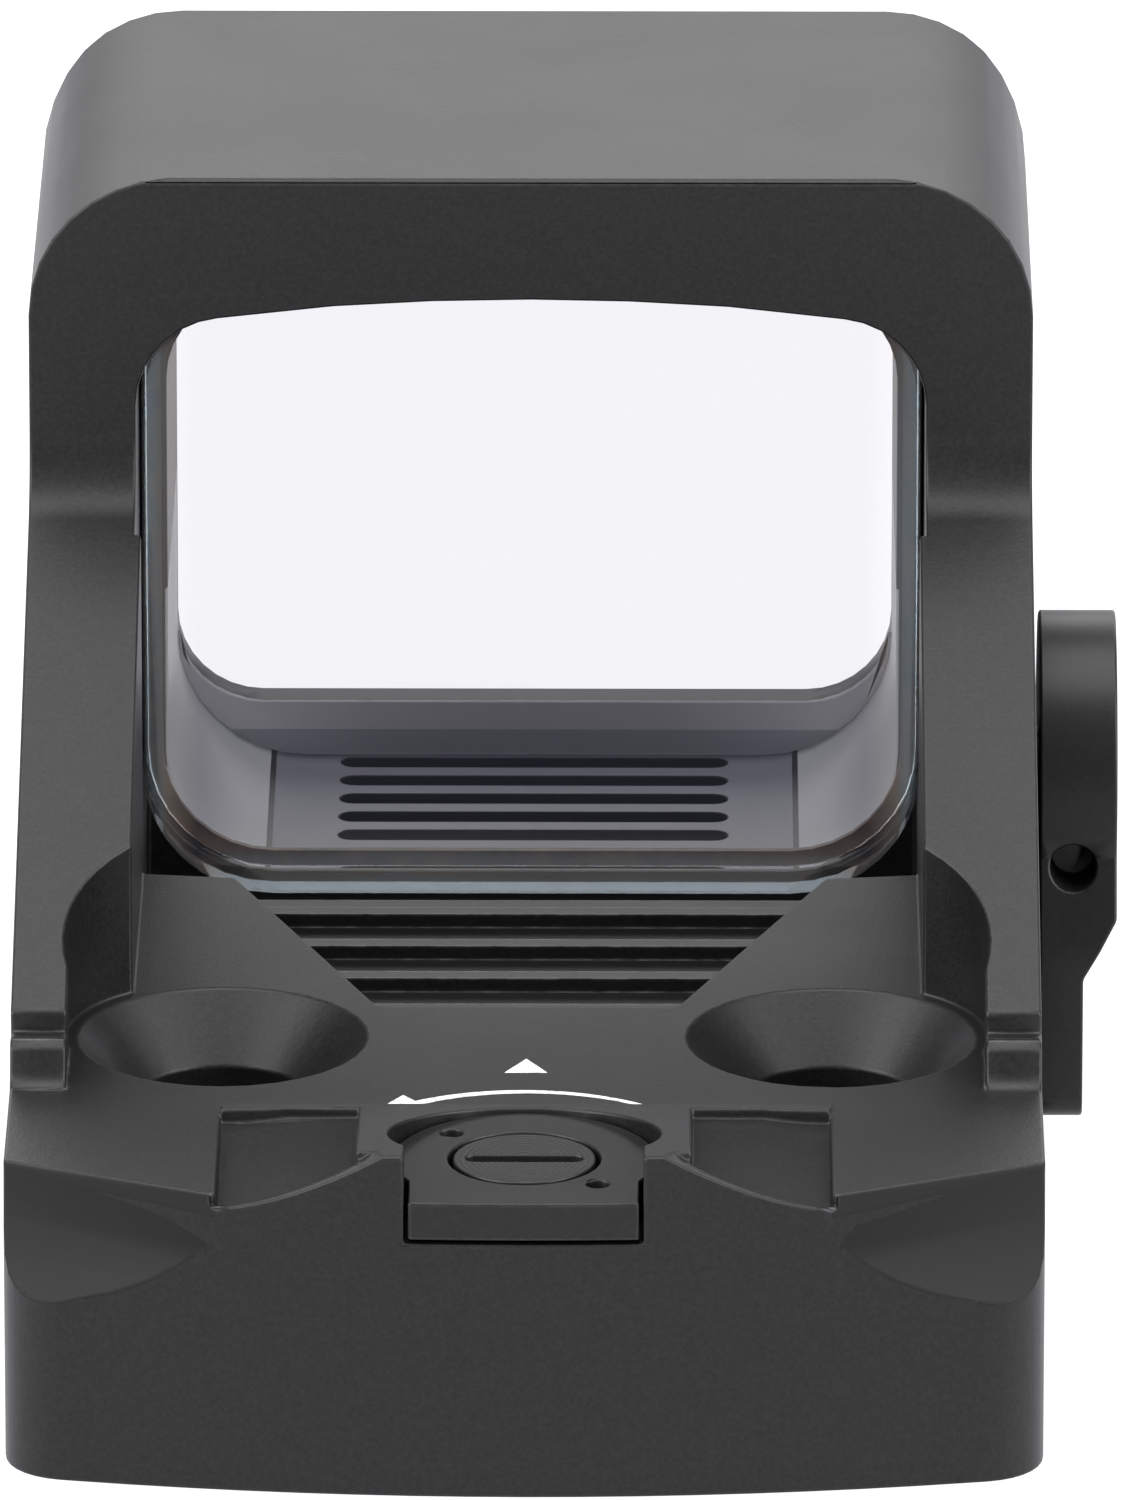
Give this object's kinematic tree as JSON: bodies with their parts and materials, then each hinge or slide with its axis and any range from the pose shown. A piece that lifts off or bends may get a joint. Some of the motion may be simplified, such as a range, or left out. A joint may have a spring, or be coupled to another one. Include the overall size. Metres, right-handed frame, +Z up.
{
  "type": "red dot finder",
  "caption": "Compact open reflex red dot finder: hooded window on a low machined base, slotted elevation dial at the rear, side battery tray with a sunk thumbscrew.",
  "frame": {"origin": "centre of the flat base face at the bottom of the housing's box, not counting the side plate", "axes": "+X to the right-hand side seen from behind, where the battery tray is; +Y to the front, away from the eye, along the sight line; +Z up"},
  "size_m": [0.0265, 0.0402, 0.0235],
  "materials": {
    "anodised": "black hard-anodised, bead-blasted",
    "turned": "black anodised, turned",
    "glass": "coated optical glass",
    "cement": "cured optical cement",
    "rubber": "matt",
    "plastic": "moulded",
    "steel": "plain",
    "gold": "gold plated",
    "board": "solder mask",
    "flex": "polyimide film",
    "emitter": "clear red epoxy"
  },
  "bodies": {
    "housing": {"housing": "anodised", "window_lens": "glass", "lens_bond": "cement", "glare_plate": "anodised", "turret_plate": "turned", "windage_spring": "steel", "circuit_board": "board", "controller_chip": "plastic", "switch_down": "gold", "switch_up": "gold", "battery_contact_positive": "gold", "battery_contact_negative": "gold", "flex_cable": "flex", "tray_seal": "rubber", "bottom_cover": "anodised", "cover_gasket": "rubber", "cover_screw_1": "steel", "cover_screw_2": "steel", "cover_screw_3": "steel", "cover_screw_4": "steel"},
    "elevation_screw": {"elevation_screw": "turned"},
    "windage_screw": {"windage_screw": "turned"},
    "cradle": {"emitter_cradle": "turned", "elevation_spring": "steel"},
    "holder": {"emitter_holder": "plastic", "led_emitter": "emitter"},
    "tray": {"battery_tray": "turned", "battery_cell": "steel"},
    "thumbscrew": {"tray_thumbscrew": "turned"},
    "button_down": {"button_down": "rubber"},
    "button_up": {"button_up": "rubber"}
  },
  "joints": [
    {"name": "elevation_turn", "type": "hinge", "parent": "housing", "child": "elevation_screw", "pos_m": [0, -0.017, 0.0072], "axis": [0, 0, 1], "range_deg": [-300, 300]},
    {"name": "windage_turn", "type": "hinge", "parent": "housing", "child": "windage_screw", "pos_m": [0.0119, -0.0146, 0.003], "axis": [1, 0, 0], "range_deg": [-300, 300]},
    {"name": "cradle_slide", "type": "slide", "parent": "housing", "child": "cradle", "axis": [1, 0, 0], "range_m": [-0.0002, 0.0002]},
    {"name": "holder_slide", "type": "slide", "parent": "cradle", "child": "holder", "axis": [0, 0, 1], "range_m": [-0.0002, 0.0002]},
    {"name": "tray_slide", "type": "slide", "parent": "housing", "child": "tray", "axis": [1, 0, 0], "range_m": [0, 0.021]},
    {"name": "thumbscrew_turn", "type": "hinge", "parent": "tray", "child": "thumbscrew", "pos_m": [0.0133, 0.0069, 0.0086], "axis": [1, 0, 0], "range_deg": [0, 720]},
    {"name": "button_down_press", "type": "slide", "parent": "housing", "child": "button_down", "axis": [1, 0, 0], "range_m": [0, 0.00025], "stiffness_N_per_m": 400},
    {"name": "button_up_press", "type": "slide", "parent": "housing", "child": "button_up", "axis": [1, 0, 0], "range_m": [0, 0.00025], "stiffness_N_per_m": 400}
  ]
}
